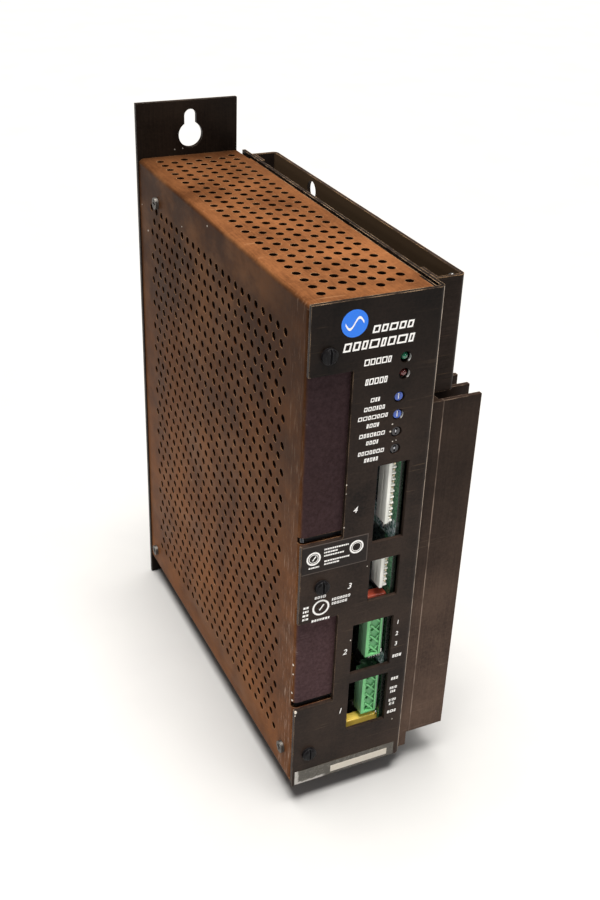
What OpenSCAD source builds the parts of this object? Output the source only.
// Servo drive: a narrow panel-mounted motor controller.
// A bent sheet chassis and a perforated cover enclose two circuit boards. Power transistors
// are clamped to the chassis wall, and the finned heat sink is screwed to its other side.
//
// Every module is drawn from the front panel's lower left corner, with X to the right,
// Y to the back and Z up. from_front_corner() moves it to the part's own frame, whose origin
// is on the rear mounting face, below the keyhole and level with the housing's underside.

/* [Housing] */
// Width from the cover's left face to the chassis wall's right face
body_w = 50; // [49.5:0.5:52]
// Height of the housing
body_h = 209.5; // [209:0.5:214]
// Depth from the front panel's face to the mounting plate
body_d = 174.5; // [174:0.5:180]
// Thickness of the chassis sheet
sheet_t = 1.5; // [1.2:0.1:1.6]
// Thickness of the cover sheet
cover_t = 1.2; // [1:0.1:1.4]
// Outer bend radius of both sheets
bend_r = 2.2; // [2:0.1:2.6]

/* [Perforation] */
// Diameter of the ventilation holes
vent_d = 3.2; // [2.6:0.1:3.4]
// Pitch of the ventilation holes along a row
vent_pitch = 6.35; // [6.2:0.05:6.5]

/* [Mounting plate] */
// Thickness of the rear mounting plate
plate_t = 2; // [1.6:0.1:2.4]
// Width of the mounting tabs
tab_w = 46.3; // [44:0.1:46.8]
// Height of the upper tab above the housing
tab_up = 23.5; // [22:0.5:30]
// Drop of the lower tab below the housing
tab_down = 9; // [8:0.5:14]
// Distance of the mounting slots from the cover's left face
slot_x = 24; // [22:0.5:26]
// Radius of the keyhole's round part, which clears a screw head
key_r = 5.5; // [5:0.1:6]
// Half width of the mounting slots
slot_r = 2.8; // [2.2:0.1:3.2]
// Height of the keyhole's round part above the housing
key_up = 8.7; // [8:0.1:10]
// Length of the keyhole's narrow part, between arc centres
key_run = 8.2; // [7:0.1:9]

/* [Heat sink and channel] */
// Height of the heat sink
sink_h = 164.2; // [160:0.1:165]
// Reach of the heat sink from the chassis wall
sink_w = 21.4; // [18:0.1:26]
// Thickness of the heat sink's base
sink_base = 4.3; // [3.8:0.1:5]
// Number of fins
fin_n = 21; // [19:1:21]
// Pitch of the fins
fin_pitch = 8.25; // [8:0.05:8.3]
// Thickness of a fin
fin_t = 1.7; // [1.4:0.1:2]
// Reach of the upper channel from the chassis wall
channel_w = 12; // [11:0.5:14]

/* [Connectors] */
// Contact pitch of the power and motor headers
power_pitch = 5.08; // [5:0.01:5.1]
// Contact pitch of the command and feedback headers
signal_pitch = 2.54; // [2.5:0.01:2.54]
// Contacts in the command header
command_n = 10; // [8:1:10]
// Contacts in the feedback header
feedback_n = 5; // [4:1:5]

/* [Trimmers] */
// Diameter of a trimmer's rotor
rotor_d = 3.2; // [2.8:0.1:3.3]
// Radial clearance of a rotor in its body
rotor_gap = 0.05; // [0.03:0.01:0.08]

/* [Hidden] */
$fn = 32;
eps = 0.01;

// Chassis
wall_x = body_w - sheet_t;
ledge_w = 8;
cover_gap = 0.2;
bend_corner_r = 2.6;
cover_front = sheet_t + cover_gap;
deck_front = sheet_t + 0.1;
cover_top_w = 46.6;
flange_w = 17.6;
rear_flange_w = 15.6;
relief = 2.6;

// Notches in the panel's left edge: [bottom, top]; both reach notch_w inwards
notch_w = 16.5;
notches = [[40, 82.3], [117, 184]];

// Connector windows: [left, right, bottom, top]
windows = [
  [23.3, 40.8, 22, 46.5],
  [23.3, 41, 51, 75.2],
  [28.7, 41.4, 85, 103.6],
  [28.7, 41.6, 111.6, 144.6]
];

// Panel screws and the indicators, as [x, z]
panel_screw_at = [[6.9, 15.8], [8.8, 97.6], [7, 191.1]];
panel_hole_d = 3.4;
led_x = 36.3;
led_z = [179.6, 185.8];
led_hole_d = 4.2;
trim_x = 35.1;
trim_z0 = 150.3;
trim_dz = 6.87;
trim_hole_d = 4.2;

// Boards
board_t = 1.6;
board_x = 39.7;
board_front = 2.5;
board_back = 168;
power_board_z = [5, 78];
control_board_z = [80, 204];
board_hole_inset = 6;
board_hole_d = 3.4;
m3_shank_d = 2.9;
m3_bore_d = 3;

// Power devices on the wall
pad_t = 0.3;
device_t = 4.6;
device_w = 15.8;
device_h = 20.8;
device_z = 34;
device_y0 = 22.5;
device_dy = 21;
device_n = 6;
bar_t = 1;
clamp_head_h = 1.1;

// Feet of the channel and the heat sink's fixings
channel_y = [7.3, 167];
channel_z = 165.5;
foot_w = 11;
plate_flange = 10.1;
rivet_d = 3.1;
rivet_hole_d = 3.2;
sink_y = 3;
fin_foot = 7;

module from_front_corner() {
  translate([-slot_x, -(body_d + plate_t), 0]) children();
}

// A block between two corners
module block(from, to) {
  translate(from) cube(to - from);
}

// Cylinders along an axis, starting at the given point
module along_x(at, d, len) {
  translate(at) rotate([0, 90, 0]) cylinder(d = d, h = len);
}
module along_y(at, d, len) {
  translate(at) rotate([-90, 0, 0]) cylinder(d = d, h = len);
}

// A rounded rectangle, corner radius r
module rounded(size, r) {
  translate([r, 0]) square([size.x - 2 * r, size.y]);
  translate([0, r]) square([size.x, size.y - 2 * r]);
  for (x = [r, size.x - r], y = [r, size.y - r]) translate([x, y]) circle(r = r);
}

// A bent strip of sheet in plan: an L with its outer corner at the origin
module bent_sheet(leg_x, leg_y, t, r) {
  translate([r, 0]) square([leg_x - r, t]);
  translate([0, r]) square([t, leg_y - r]);
  intersection() {
    square([r, r]);
    translate([r, r]) difference() {
      circle(r = r);
      circle(r = r - t);
    }
  }
}

// Rows of holes in a 60 degree stagger: an odd row starts half a pitch in and has one hole less
module vent_field(rows, columns) {
  row_step = vent_pitch * sqrt(3) / 2;
  for (i = [0:rows - 1], j = [0:columns - 1 - i % 2])
    translate([i * row_step, (j + (i % 2) / 2) * vent_pitch]) circle(d = vent_d, $fn = 16);
}

// ---------------------------------------------------------------- housing

module chassis() {
  standoff_spots = concat(board_holes(power_board_z), board_holes(control_board_z));
  color("#2b2322") from_front_corner() difference() {
    union() {
      translate([body_w, 0, 0]) mirror([1, 0, 0]) linear_extrude(body_h)
        bent_sheet(body_w, body_d, sheet_t, bend_r);
      chassis_ledge(body_h - cover_t - sheet_t - 0.1);
      chassis_ledge(cover_t + 0.1);
      front_ear();
    }
    for (n = notches) block([-1, -1, n[0]], [notch_w, sheet_t + 0.5, n[1]]);
    bend_corner_cut();
    for (w = windows) block([w[0], -1, w[2]], [w[1], sheet_t + 0.5, w[3]]);
    for (s = panel_screw_at) along_y([s.x, -1, s.y], panel_hole_d, 3);
    for (z = led_z) along_y([led_x, -1, z], led_hole_d, 3);
    for (i = [0:3]) along_y([trim_x, -1, trim_z0 + i * trim_dz], trim_hole_d, 3);
    for (s = standoff_spots) along_x([wall_x - 1, s.x, s.y], m3_bore_d, 3);
    for (s = clamp_spots()) along_x([wall_x - 1, s.x, s.y], m3_bore_d, 3);
    for (s = sink_screw_at) along_x([wall_x - 1, s.x, s.y], m3_bore_d, 3);
    for (s = channel_rivet_at) along_x([wall_x - 1, s.x, s.y], rivet_hole_d, 3);
    for (z = plate_rivet_z) along_x([wall_x - 1, plate_rivet_y, z], rivet_hole_d, 3);
    along_x([0, side_screw_at[0].x, side_screw_at[0].y], m3_bore_d, 4);
  }
}

// Rounds the panel's lower corner at the bend
module bend_corner_cut() {
  difference() {
    block([body_w - bend_corner_r, -1, -1], [body_w + 1, bend_r + 0.3, bend_corner_r]);
    along_y([body_w - bend_corner_r, -2, bend_corner_r], 2 * bend_corner_r, bend_r + 4);
  }
}

// A ledge bent inwards from the wall, which the cover's top or floor rests on
module chassis_ledge(z) {
  block([wall_x - ledge_w, cover_front + 2, z], [wall_x + eps, body_d - 16, z + sheet_t]);
}

// An ear behind the cover's side, y is its [front, back]
module side_ear(z0, z1, y) {
  block([cover_t + 0.1, y[0], z0], [cover_t + 0.1 + sheet_t, y[1], z1]);
}

// The lower ledge's strap across the floor, turned up into an ear for the front side screw
module front_ear() {
  y = [6, 20];
  block([cover_t + 1.1, y[0], cover_t + 0.1], [wall_x - ledge_w + eps, y[1], cover_t + 0.1 + sheet_t]);
  block([cover_t + 0.2, y[0], cover_t + 0.7], [cover_t + 0.2 + sheet_t, y[1], 22]);
}

// The cover's top, and its floor: an edge relief at each end of the free side
module cover_deck() {
  difference() {
    translate([bend_r, 0]) square([cover_top_w - bend_r, body_d - deck_front]);
    translate([7.4, 7]) vent_field(7, 26);
    translate([cover_top_w - 1, -1]) square([2, 11]);
    translate([cover_top_w - 1, body_d - 16]) square([2, 20]);
  }
}

module cover_side_plate() {
  difference() {
    translate([bend_r, 0]) square([body_h - 2 * bend_r, body_d - cover_front - bend_r]);
    translate([16.8, 15]) vent_field(33, 23);
  }
}

// A quarter of a bent corner, from the wall (x = 0) to the deck (z = 0)
module cover_corner() {
  intersection() {
    square([bend_r, bend_r]);
    translate([bend_r, bend_r]) difference() {
      circle(r = bend_r);
      circle(r = bend_r - cover_t);
    }
  }
}

module perforated_cover() {
  deep = body_d - deck_front;
  color("#6b3f2a") from_front_corner() difference() {
    union() {
      // side, top and floor
      translate([0, cover_front + bend_r, 0]) rotate([0, -90, 0]) mirror([0, 0, 1])
        linear_extrude(cover_t) cover_side_plate();
      translate([0, deck_front, body_h - cover_t]) linear_extrude(cover_t) cover_deck();
      translate([0, deck_front, 0]) linear_extrude(cover_t) cover_deck();
      // long bends
      translate([0, body_d, 0]) rotate([90, 0, 0]) linear_extrude(deep) cover_corner();
      translate([0, body_d, body_h]) mirror([0, 0, 1]) rotate([90, 0, 0])
        linear_extrude(deep) cover_corner();
      // front flange in three tabs, bent from the side
      for (z = [[bend_r, 40], [40 + relief, 117], [117 + relief, body_h - bend_r]])
        translate([0, cover_front, z[0]]) linear_extrude(z[1] - z[0])
          bent_sheet(flange_w, bend_r + eps, cover_t, bend_r);
      // rear flange
      block([0, body_d - cover_t, 18], [rear_flange_w, body_d, 186]);
    }
    for (s = panel_screw_at) along_y([s.x, 0, s.y], panel_hole_d, 5);
    for (s = side_screw_at) along_x([-1, s.x, s.y], panel_hole_d, 4);
    for (s = rear_screw_at) along_y([s.x, body_d - 4, s.y], panel_hole_d, 5);
  }
}

module mounting_plate() {
  key_z = body_h + key_up;
  color("#17161a") from_front_corner() difference() {
    union() {
      block([-0.6, body_d, -tab_down], [tab_w - 0.6, body_d + plate_t, body_h + tab_up]);
      block([tab_w - 0.6, body_d, 2], [wall_x - 0.1, body_d + plate_t, body_h - 2]);
      // flange along the chassis wall
      block([wall_x - 0.1 - sheet_t, body_d - plate_flange, 8],
            [wall_x - 0.1, body_d + eps, body_h - 8]);
      // ears for the cover's side screws
      side_ear(188, 204, [142, body_d + eps]);
      side_ear(3.6, 16, [157, body_d + eps]);
    }
    // keyhole
    along_y([slot_x, body_d - 1, key_z], 2 * key_r, plate_t + 2);
    along_y([slot_x, body_d - 1, key_z + key_run], 2 * slot_r, plate_t + 2);
    block([slot_x - slot_r, body_d - 1, key_z], [slot_x + slot_r, body_d + plate_t + 1, key_z + key_run]);
    // open slot in the lower tab
    along_y([slot_x, body_d - 1, -tab_down / 2], 2 * slot_r, plate_t + 2);
    block([slot_x - slot_r, body_d - 1, -tab_down - 1],
          [slot_x + slot_r, body_d + plate_t + 1, -tab_down / 2]);
    for (z = plate_rivet_z) along_x([wall_x - 3, plate_rivet_y, z], rivet_hole_d, 4);
    for (s = [side_screw_at[1], side_screw_at[2]]) along_x([0, s.x, s.y], m3_bore_d, 5);
    for (s = rear_screw_at) rear_screw_hole(s);
  }
}

module rear_screw_hole(s) {
  along_y([s.x, body_d - 1, s.y], panel_hole_d, plate_t + 2);
  translate([s.x, body_d + plate_t - 1.6, s.y]) rotate([-90, 0, 0])
    cylinder(d1 = m3_bore_d, d2 = 6.4, h = 1.7);
}

module heat_sink() {
  deep = (fin_n - 1) * fin_pitch + fin_t;
  color("#241f1f") from_front_corner() difference() {
    union() {
      block([body_w, sink_y, 0], [body_w + sink_base, sink_y + deep, sink_h]);
      for (i = [0:fin_n - 1]) translate([body_w, sink_y + i * fin_pitch, fin_foot])
        cube([sink_w, fin_t, sink_h - fin_foot]);
    }
    for (s = concat(sink_screw_at, clamp_spots()))
      along_x([body_w - 1, s.x, s.y], m3_bore_d, sink_base);
    for (z = plate_rivet_z) along_x([body_w - 1, plate_rivet_y, z], 7, 2.4);
  }
}

module side_channel() {
  leg = channel_w;
  color("#231d1d") from_front_corner() difference() {
    translate([body_w, 0, channel_z]) linear_extrude(body_h - channel_z) {
      translate([leg, channel_y[0]]) mirror([1, 0]) bent_sheet(leg, 80, sheet_t, bend_r);
      translate([leg, channel_y[1]]) mirror([1, 0]) mirror([0, 1]) bent_sheet(leg, 80, sheet_t, bend_r);
      translate([0, channel_y[0]]) square([sheet_t, foot_w]);
      translate([0, channel_y[1] - foot_w]) square([sheet_t, foot_w]);
    }
    for (y = [13.5, 127]) along_x([body_w + 5, y, 203.6], 8, 10);
    for (s = channel_rivet_at) along_x([body_w - 1, s.x, s.y], rivet_hole_d, 3);
  }
}

// ---------------------------------------------------------------- boards

standoff_y = [22, 161];
function board_holes(z) = [
  for (y = standoff_y, h = [z[0] + board_hole_inset, z[1] - board_hole_inset]) [y, h]
];

module board(z) {
  difference() {
    block([board_x, board_front, z[0]], [board_x + board_t, board_back, z[1]]);
    for (s = board_holes(z)) along_x([board_x - 1, s.x, s.y], board_hole_d, board_t + 2);
  }
}

module power_board() {
  color("#2f7d4a") from_front_corner() difference() {
    board(power_board_z);
    for (s = clamp_spots()) along_x([board_x - 1, s.x, s.y], 7, board_t + 2);
    for (z = [power_header_z, motor_header_z], i = [0:poles - 1])
      along_x([board_x - 1, power_tail_y, power_pin_z(z, i)], 1.6, board_t + 2);
  }
}

module control_board() {
  color("#2f7d4a") from_front_corner() difference() {
    board(control_board_z);
    for (i = [0:command_n - 1])
      along_x([board_x - 1, signal_tail_y, signal_pin_z(command_header_z, i)], 1, board_t + 2);
    for (i = [0:feedback_n - 1])
      along_x([board_x - 1, signal_tail_y, signal_pin_z(feedback_header_z, i)], 1, board_t + 2);
    for (i = [0:3], k = [-1:1])
      along_x([board_x - 1, trim_tail_y, trim_z(i) + k * trim_tail_dz], 1, board_t + 2);
  }
}

module board_standoffs() {
  gap = wall_x - board_x - board_t;
  color("#b9bcc0") from_front_corner()
    for (s = concat(board_holes(power_board_z), board_holes(control_board_z))) difference() {
      union() {
        translate([board_x + board_t, s.x, s.y]) rotate([0, 90, 0])
          cylinder(d = 6, h = gap, $fn = 6);
        along_x([wall_x - eps, s.x, s.y], m3_shank_d, sheet_t);
      }
      along_x([board_x + board_t - 1, s.x, s.y], m3_bore_d, 6);
    }
}

module pan_screw_x(at, head_d, head_h, shank) {
  along_x([at.x - head_h, at.y, at.z], head_d, head_h);
  along_x([at.x - eps, at.y, at.z], m3_shank_d, shank);
}

module board_screws() {
  color("#b9bcc0") from_front_corner()
    for (s = concat(board_holes(power_board_z), board_holes(control_board_z))) difference() {
      pan_screw_x([board_x, s.x, s.y], 5.6, 2, 6);
      block([board_x - 3, s.x - 0.4, s.y - 4], [board_x - 1.2, s.x + 0.4, s.y + 4]);
    }
}

// A row of jumpers that joins the two boards across their gap
module board_link() {
  rows = 8;
  color("#26262b") from_front_corner() difference() {
    block([board_x - 6, 96, 75.2], [board_x, 96 + rows * signal_pitch + 2, 83]);
    for (i = [0:rows - 1])
      block([board_x - 7, 97.2 + i * signal_pitch, 76.4], [board_x - 3, 98.6 + i * signal_pitch, 81.8]);
  }
}

// ---------------------------------------------------------------- power devices

function clamp_spots() = [
  for (i = [0, 2, 4]) [device_y0 + (i + 0.5) * device_dy, device_z + 11]
];

module insulator_pad() {
  color("#c9c4b8") from_front_corner() difference() {
    block([wall_x - pad_t, 8, device_z - 3], [wall_x, 158, device_z + device_h + 2]);
    for (s = clamp_spots()) along_x([wall_x - 1, s.x, s.y], 4, 2);
  }
}

// One flat package: plastic body, and three leads bent towards the board
module transistor(y) {
  back = wall_x - pad_t;
  lead = 0.8;
  block([back - device_t, y - device_w / 2, device_z], [back, y + device_w / 2, device_z + device_h]);
  for (k = [-1:1]) {
    ly = y + k * 5.08 - lead / 2;
    block([back - 2.8, ly, device_z - 5], [back - 2, ly + lead, device_z + eps]);
    block([board_x + board_t, ly, device_z - 5.8], [back - 2, ly + lead, device_z - 5 + eps]);
  }
}

module power_transistors() {
  color("#1c1c1f") from_front_corner()
    for (i = [0:device_n - 1]) transistor(device_y0 + i * device_dy);
}

module bridge_rectifier() {
  back = wall_x - pad_t;
  y = 137;
  wide = 20;
  color("#202024") from_front_corner() {
    block([back - 4, y, device_z], [back, y + wide, device_z + 19]);
    for (k = [0:3]) {
      ly = y + 1.8 + k * 5.08;
      block([back - 2.6, ly, device_z - 5], [back - 1.6, ly + 1, device_z + eps]);
      block([board_x + board_t, ly, device_z - 6], [back - 1.6, ly + 1, device_z - 5 + eps]);
    }
  }
}

module clamp_bar() {
  x = wall_x - pad_t - device_t - bar_t;
  color("#9a9da1") from_front_corner() difference() {
    block([x, device_y0 - 6, device_z + 6], [x + bar_t, device_y0 + 111, device_z + 16]);
    for (s = clamp_spots()) along_x([x - 1, s.x, s.y], panel_hole_d, 3);
  }
}

module clamp_screws() {
  x = wall_x - pad_t - device_t - bar_t;
  color("#b9bcc0") from_front_corner()
    for (s = clamp_spots()) difference() {
      pan_screw_x([x, s.x, s.y], 5.5, clamp_head_h, body_w + 3 - x);
      translate([x - clamp_head_h - 1, s.x, s.y]) rotate([0, 90, 0])
        cylinder(d = 2.6, h = 1.6, $fn = 6);
    }
}

// ---------------------------------------------------------------- power board parts

module bus_capacitors() {
  can_d = 30;
  can_h = 34;
  color("#2a3558") from_front_corner() for (i = [0:2])
    translate([board_x, 50 + 34 * i, 59]) rotate([0, -90, 0]) rotate_extrude()
      polygon([[0, 0], [can_d / 2, 0], [can_d / 2, 2.4], [can_d / 2 - 0.9, 3.2],
               [can_d / 2 - 0.9, 4], [can_d / 2, 4.8], [can_d / 2, can_h - 1],
               [can_d / 2 - 1, can_h], [can_d / 2 - 3, can_h], [can_d / 2 - 3.4, can_h - 0.5],
               [0, can_h - 0.5]]);
}

module soft_start_relay() {
  color("#1d2126") from_front_corner() {
    block([board_x - 20, 138, 8], [board_x - 0.4, 153, 37]);
    for (y = [140, 151], z = [11, 34]) block([board_x - 0.5, y - 0.6, z], [board_x, y + 0.6, z + 1]);
  }
}

// Shell-type core: the outer frame of an E and I stack, lying on the board
module transformer_core() {
  y = 26;
  z = 8;
  color("#4a4642") from_front_corner() difference() {
    block([board_x - 27, y, z], [board_x - 3, y + 30, z + 26]);
    block([board_x - 28, y + 4.8, z + 4.6], [board_x + 1, y + 10, z + 21.4]);
    block([board_x - 28, y + 20, z + 4.6], [board_x + 1, y + 25.2, z + 21.4]);
  }
}

module transformer_winding() {
  y = 31;
  z = 12.8;
  color("#c9a24a") from_front_corner() difference() {
    block([board_x - 30, y, z], [board_x, y + 20, z + 16.4]);
    block([board_x - 27.2, y + 4.9, z - 1], [board_x - 2.8, y + 15.1, z + 18]);
  }
}

choke_at = [board_x - 10.6, 78, 22];
module choke_core() {
  color("#3f6b4f") from_front_corner() translate(choke_at) rotate([90, 0, 0])
    rotate_extrude() translate([6.2, -3]) square([3.6, 6]);
}

module choke_winding() {
  turns = 14;
  color("#b5652c") from_front_corner() translate(choke_at) rotate([90, 0, 0])
    for (i = [0:turns - 1]) rotate([0, 0, 20 + i * 320 / (turns - 1)]) difference() {
      translate([5.4, -0.45, -3.8]) cube([5.2, 0.9, 7.6]);
      translate([6.15, -1, -3.05]) cube([3.7, 2, 6.1]);
    }
}

fuse_at = [board_x - 7, 98, 22];
module fuse() {
  color("#dcdfe2") from_front_corner() {
    along_y(fuse_at, 5, 20);
  }
}

module fuse_clips() {
  color("#c4b27a") from_front_corner() for (y = [0.6, 15.4]) difference() {
    block([fuse_at.x - 3, fuse_at.y + y, fuse_at.z - 3.3], [board_x, fuse_at.y + y + 4, fuse_at.z + 3.3]);
    along_y([fuse_at.x, fuse_at.y + y - 1, fuse_at.z], 5.1, 6);
    block([fuse_at.x - 4, fuse_at.y + y - 1, fuse_at.z - 1.6],
          [fuse_at.x, fuse_at.y + y + 5, fuse_at.z + 1.6]);
    block([fuse_at.x + 3.4, fuse_at.y + y - 1, fuse_at.z - 2.5],
          [board_x - 0.8, fuse_at.y + y + 5, fuse_at.z + 2.5]);
  }
}

// A moulded box with its four upright edges rounded, standing on the board
module film_box(near, far) {
  deep = far.x - near.x - 0.4;
  translate([near.x, near.y, near.z]) rotate([90, 0, 90]) linear_extrude(deep)
    rounded([far.y - near.y, far.z - near.z], 0.6);
  for (y = [near.y + 1.4, far.y - 1.4])
    along_x([far.x - 0.5, y, (near.z + far.z) / 2], 0.8, 0.5);
}

module filter_capacitor() {
  color("#d8b021") from_front_corner() film_box([24.6, 3.4, 18], [board_x, 7.8, 23]);
}

module snubber_capacitor() {
  color("#c33a26") from_front_corner() film_box([31.5, 4.4, 78.6], [board_x, 8.8, 83.4]);
}

// ---------------------------------------------------------------- control board parts

// Upright cans: [y, z, diameter, height]
signal_can_at = [
  [30, 92, 8, 12], [30, 104, 8, 12], [148, 96, 10, 16], [148, 110, 10, 16], [136, 96, 8, 12],
  [136, 106, 6.3, 11], [26, 192, 6.3, 11], [150, 192, 8, 12]
];
module signal_capacitors() {
  color("#23283a") from_front_corner() for (c = signal_can_at)
    translate([board_x, c[0], c[1]]) rotate([0, -90, 0]) rotate_extrude()
      polygon([[0, 0], [c[2] / 2, 0], [c[2] / 2, 1], [c[2] / 2 - 0.4, 1.5], [c[2] / 2, 2],
               [c[2] / 2, c[3] - 0.6], [c[2] / 2 - 0.6, c[3]], [0, c[3]]]);
}

// Dual in-line packages: [y, z, length along Y]
chip_at = [
  [45, 100, 19.5], [45, 115, 19.5], [45, 145, 22], [45, 160, 19.5],
  [45, 178, 19.5], [100, 150, 19.5], [100, 165, 22], [100, 180, 19.5]
];
module logic_chips() {
  wide = 6.4;
  color("#1a1a1d") from_front_corner() for (c = chip_at) {
    difference() {
      block([board_x - 4, c[0], c[1]], [board_x - 0.7, c[0] + c[2], c[1] + wide]);
      along_x([board_x - 5, c[0], c[1] + wide / 2], 2, 1.4);
    }
    for (y = [c[0] + 1:signal_pitch:c[0] + c[2] - 1], z = [c[1] - 0.8, c[1] + wide - 0.01])
      block([board_x - 2.4, y, z], [board_x, y + 0.5, z + 0.81]);
  }
}

module processor_chip() {
  side = 24;
  color("#18181b") from_front_corner() difference() {
    block([board_x - 4.6, 84, 108], [board_x, 84 + side, 108 + side]);
    along_x([board_x - 5, 88, 128], 2.4, 0.9);
    translate([board_x - 5, 84, 108 + side]) rotate([45, 0, 0]) translate([0, -1.5, -1.5]) cube([6, 3, 3]);
  }
}

module crystal() {
  color("#c3c6ca") from_front_corner() translate([board_x, 116, 117]) rotate([0, -90, 0])
    linear_extrude(3.8) rounded([4.6, 11], 2.2);
}

// ---------------------------------------------------------------- connectors

power_header_z = 25.3;
motor_header_z = 54.9;
header_h = 8.6;
header_front = 2.6;
header_deep = 9;
poles = 4;
power_pin_h = 4.3;
power_tail_y = header_front + header_deep + 0.8;
function power_pin_z(z, i) = z + 0.2 + (i + 0.5) * power_pitch;

// A plug-in header for screw terminals: a shroud open to the front, over four contacts
module shrouded_header(z) {
  long = poles * power_pitch + 0.4;
  left = board_x - header_h;
  wall = 0.9;
  difference() {
    union() {
      block([left, header_front, z], [board_x, header_front + 6.4, z + long]);
      block([left + 3.4, header_front + 6.3, z], [board_x, header_front + header_deep, z + long]);
    }
    block([left + wall, header_front - 1, z + wall], [board_x - 1.9, header_front + 5.4, z + long - wall]);
    // keying grooves, one for each pole, in the shroud's outer lip
    for (i = [0:poles - 1]) block(
      [left + 0.3, header_front - 1, z + 1.6 + i * power_pitch],
      [left + 1, header_front + 4.4, z + 4 + i * power_pitch]);
    for (i = [0:poles - 1])
      along_y([board_x - power_pin_h, header_front + 5, power_pin_z(z, i)], 1.3, 5);
  }
}

// One pin a pole: forward through the header's back wall, then down through the board
module header_pins(z) {
  for (i = [0:poles - 1]) {
    at = [board_x - power_pin_h, header_front + 1.6, power_pin_z(z, i)];
    along_y(at, 1.2, power_tail_y + 0.6 - at.y);
    along_x([at.x, power_tail_y, at.z], 1.2, power_pin_h + board_t + 1.2);
  }
}

module power_header() {
  color("#4fae62") from_front_corner() shrouded_header(power_header_z);
}
module power_header_pins() {
  color("#c8cbd0") from_front_corner() header_pins(power_header_z);
}
module motor_header() {
  color("#4fae62") from_front_corner() shrouded_header(motor_header_z);
}
module motor_header_pins() {
  color("#c8cbd0") from_front_corner() header_pins(motor_header_z);
}

command_header_z = 117.4;
feedback_header_z = 88.2;
lock_h = 5.1;
lock_front = 2;
signal_pin_h = 2.2;
signal_tail_y = lock_front + 8.4;
function signal_pin_z(z, i) = z + 0.65 + (i + 0.5) * signal_pitch;

// A right-angle friction-lock header: a base, and a ribbed locking wall that reaches forward
module lock_header(z, n) {
  long = n * signal_pitch + 1.3;
  left = board_x - lock_h;
  difference() {
    union() {
      block([left, lock_front, z], [left + 1.3, lock_front + 6.8, z + long]);
      block([left + 1, lock_front + 4, z], [board_x, lock_front + 6.8, z + long]);
      for (i = [0:n]) block([left + 1, lock_front + 1, z + 0.3 + i * signal_pitch],
                            [left + 1.9, lock_front + 4.2, z + 1 + i * signal_pitch]);
    }
    for (i = [0:n - 1])
      along_y([board_x - signal_pin_h, lock_front + 3, signal_pin_z(z, i)], 0.8, 5);
  }
}

module lock_header_pins(z, n) {
  for (i = [0:n - 1]) {
    at = [board_x - signal_pin_h, lock_front + 1, signal_pin_z(z, i)];
    along_y(at, 0.7, signal_tail_y + 0.35 - at.y);
    along_x([at.x, signal_tail_y, at.z], 0.7, signal_pin_h + board_t + 1);
  }
}

module command_header() {
  color("#e9e4d2") from_front_corner() lock_header(command_header_z, command_n);
}
module command_header_pins() {
  color("#c8b070") from_front_corner() lock_header_pins(command_header_z, command_n);
}
module feedback_header() {
  color("#e9e4d2") from_front_corner() lock_header(feedback_header_z, feedback_n);
}
module feedback_header_pins() {
  color("#c8b070") from_front_corner() lock_header_pins(feedback_header_z, feedback_n);
}

// ---------------------------------------------------------------- indicators and trimmers

led_d = 3;
led_tip = 0.2;

// A 3 mm lamp: a domed lens on a collar, facing the panel hole
module led(z) {
  translate([led_x, led_tip, z]) rotate([-90, 0, 0]) rotate_extrude() {
    intersection() {
      translate([0, led_d / 2]) circle(d = led_d);
      square([led_d, led_d / 2 + eps]);
    }
    translate([0, led_d / 2]) square([led_d / 2, 3]);
    translate([0, led_d / 2 + 3]) square([1.9, 1]);
  }
}

module power_led() {
  color("#0f5a3a") from_front_corner() led(led_z[1]);
}
module fault_led() {
  color("#5a1413") from_front_corner() led(led_z[0]);
}

module led_mounts() {
  color("#141416") from_front_corner() for (z = led_z)
    difference() {
      block([led_x - 2.5, 3.6, z - 2.5], [board_x, 10, z + 2.5]);
      along_y([led_x, 3, z], 3.1, 2.8);
      along_y([led_x, 4.6, z], 4, 2.2);
    }
}

trim_body = 6.3;
trim_front = 3.2;
rotor_tip = 0.5;
trim_deep = 4.8;
trim_tail_y = trim_front + 2.25;
trim_tail_dz = 2.5;
function trim_z(i) = trim_z0 + i * trim_dz;

// A square single-turn trimmer on edge: the rotor sits in a bore in its front face
module trimmer_body(i) {
  color("#2f55b5") from_front_corner() {
    difference() {
      block([trim_x - trim_body / 2, trim_front, trim_z(i) - trim_body / 2],
            [trim_x + trim_body / 2, trim_front + trim_deep, trim_z(i) + trim_body / 2]);
      along_y([trim_x, trim_front - 1, trim_z(i)], rotor_d + 2 * rotor_gap, 4);
    }
    for (k = [-1:1]) block(
      [trim_x + trim_body / 2 - eps, trim_tail_y - 0.25, trim_z(i) + k * trim_tail_dz - 0.25],
      [board_x + board_t + 1, trim_tail_y + 0.25, trim_z(i) + k * trim_tail_dz + 0.25]);
  }
}

// The rotor, with its screwdriver slot and a pointer notch at one end of the slot
module trimmer_rotor(i) {
  color("#e6e8ea") from_front_corner() difference() {
    along_y([trim_x, rotor_tip, trim_z(i)], rotor_d, trim_front + 2.8 - rotor_tip);
    block([trim_x - 0.3, rotor_tip - 1, trim_z(i) - 1.3],
          [trim_x + 0.3, rotor_tip + 0.9, trim_z(i) + 1.3]);
    block([trim_x - 0.6, rotor_tip - 1, trim_z(i) + 0.7],
          [trim_x + 0.6, rotor_tip + 0.5, trim_z(i) + 1.2]);
  }
}

module limit_trimmer() { trimmer_body(0); }
module loop_trimmer() { trimmer_body(1); }
module command_trimmer() { trimmer_body(2); }
module offset_trimmer() { trimmer_body(3); }
module limit_rotor() { trimmer_rotor(0); }
module loop_rotor() { trimmer_rotor(1); }
module command_rotor() { trimmer_rotor(2); }
module offset_rotor() { trimmer_rotor(3); }

// ---------------------------------------------------------------- fasteners and labels

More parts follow.
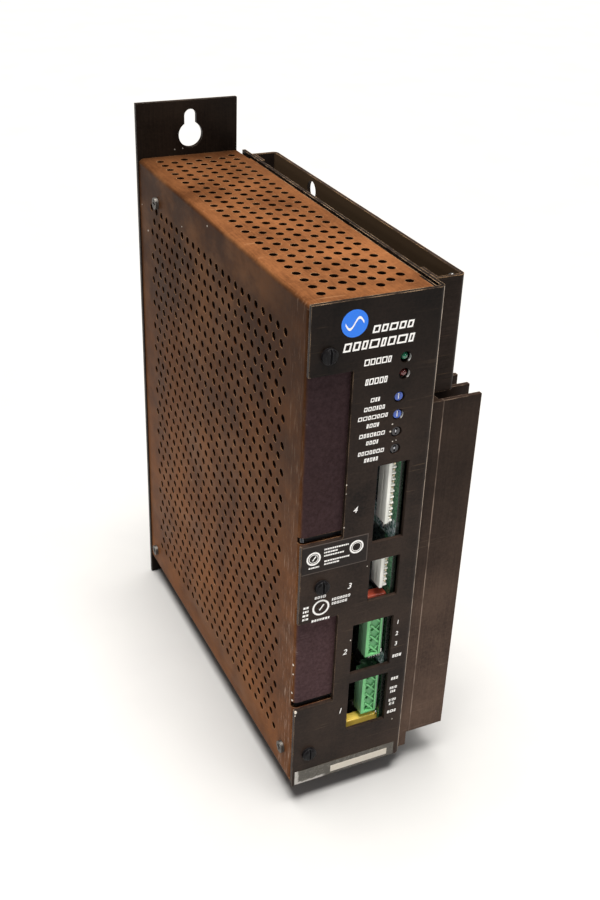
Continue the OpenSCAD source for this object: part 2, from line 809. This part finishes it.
side_screw_at = [[10.3, 13], [151.3, 196.8], [167, 9]];
rear_screw_at = [[9, 40], [9, 168]];
sink_screw_at = [[30, 14], [140, 14], [30, 150], [140, 150]];
channel_rivet_at = [[14.5, 174], [14.5, 192], [159.8, 174], [159.8, 192]];
plate_rivet_y = 167;
plate_rivet_z = [28, 104, 156];

module panel_screws() {
  head_d = 5.8;
  head_h = 2;
  color("#101012") from_front_corner() for (s = panel_screw_at) difference() {
    translate([s.x, 0, s.y]) rotate([90, 0, 0]) {
      cylinder(d = head_d, h = head_h - 0.7);
      translate([0, 0, head_h - 0.7]) cylinder(d1 = head_d, d2 = head_d - 1.8, h = 0.7);
      translate([0, 0, -6]) cylinder(d = m3_shank_d, h = 6.01);
    }
    block([s.x - 0.45, -head_h - 1, s.y - 4], [s.x + 0.45, -head_h + 0.9, s.y + 4]);
  }
}

module clinch_nuts() {
  back = cover_front + cover_t;
  color("#b9bcc0") from_front_corner() for (s = panel_screw_at) difference() {
    along_y([s.x, back, s.y], 6.2, 2.2);
    along_y([s.x, back - 1, s.y], m3_bore_d, 5);
  }
}

module side_screws() {
  color("#c9ccd0") from_front_corner() for (s = side_screw_at) difference() {
    pan_screw_x([0, s.x, s.y], 5, 1.4, 4);
    block([-2, s.x - 0.35, s.y - 1.6], [-0.7, s.x + 0.35, s.y + 1.6]);
    block([-2, s.x - 1.6, s.y - 0.35], [-0.7, s.x + 1.6, s.y + 0.35]);
  }
}

module rear_screws() {
  color("#b9bcc0") from_front_corner() for (s = rear_screw_at) {
    translate([s.x, body_d + plate_t - 1.5, s.y]) rotate([-90, 0, 0])
      cylinder(d1 = 2.9, d2 = 5.8, h = 1.45);
    along_y([s.x, body_d - 3.7, s.y], m3_shank_d, 4.3);
    along_y([s.x, body_d - cover_t - 2.4, s.y], 6, 2.4);
  }
}

module heat_sink_screws() {
  color("#b9bcc0") from_front_corner() for (s = sink_screw_at)
    pan_screw_x([wall_x, s.x, s.y], 5.6, 2, sheet_t + sink_base - 1.2);
}

module channel_rivets() {
  color("#3a3534") from_front_corner() for (s = channel_rivet_at) {
    along_x([wall_x - 1, s.x, s.y], 4.6, 1);
    along_x([wall_x - eps, s.x, s.y], rivet_d, 2 * sheet_t + 0.02);
    along_x([body_w + sheet_t, s.x, s.y], 6, 1);
  }
}

module plate_rivets() {
  color("#3a3534") from_front_corner() for (z = plate_rivet_z) {
    along_x([wall_x - sheet_t - 1.2, plate_rivet_y, z], 4.6, 1);
    along_x([wall_x - sheet_t - 0.3, plate_rivet_y, z], rivet_d, 2 * sheet_t + 0.4);
    along_x([body_w, plate_rivet_y, z], 6, 1);
  }
}

label_t = 0.12;
module approval_label() {
  color("#3b302e") from_front_corner() block([0.4, -label_t, 104.6], [27, 0, 116.7]);
}

module serial_label() {
  color("#8b8578") from_front_corner() block([1.2, -label_t, 0.4], [46.6, 0, 7.2]);
}

chassis();
perforated_cover();
mounting_plate();
heat_sink();
side_channel();
power_board();
control_board();
board_standoffs();
board_screws();
board_link();
insulator_pad();
power_transistors();
bridge_rectifier();
clamp_bar();
clamp_screws();
bus_capacitors();
soft_start_relay();
transformer_core();
transformer_winding();
choke_core();
choke_winding();
fuse();
fuse_clips();
filter_capacitor();
snubber_capacitor();
signal_capacitors();
logic_chips();
processor_chip();
crystal();
power_header();
power_header_pins();
motor_header();
motor_header_pins();
command_header();
command_header_pins();
feedback_header();
feedback_header_pins();
power_led();
fault_led();
led_mounts();
offset_trimmer();
command_trimmer();
loop_trimmer();
limit_trimmer();
offset_rotor();
command_rotor();
loop_rotor();
limit_rotor();
panel_screws();
clinch_nuts();
side_screws();
rear_screws();
heat_sink_screws();
channel_rivets();
plate_rivets();
approval_label();
serial_label();
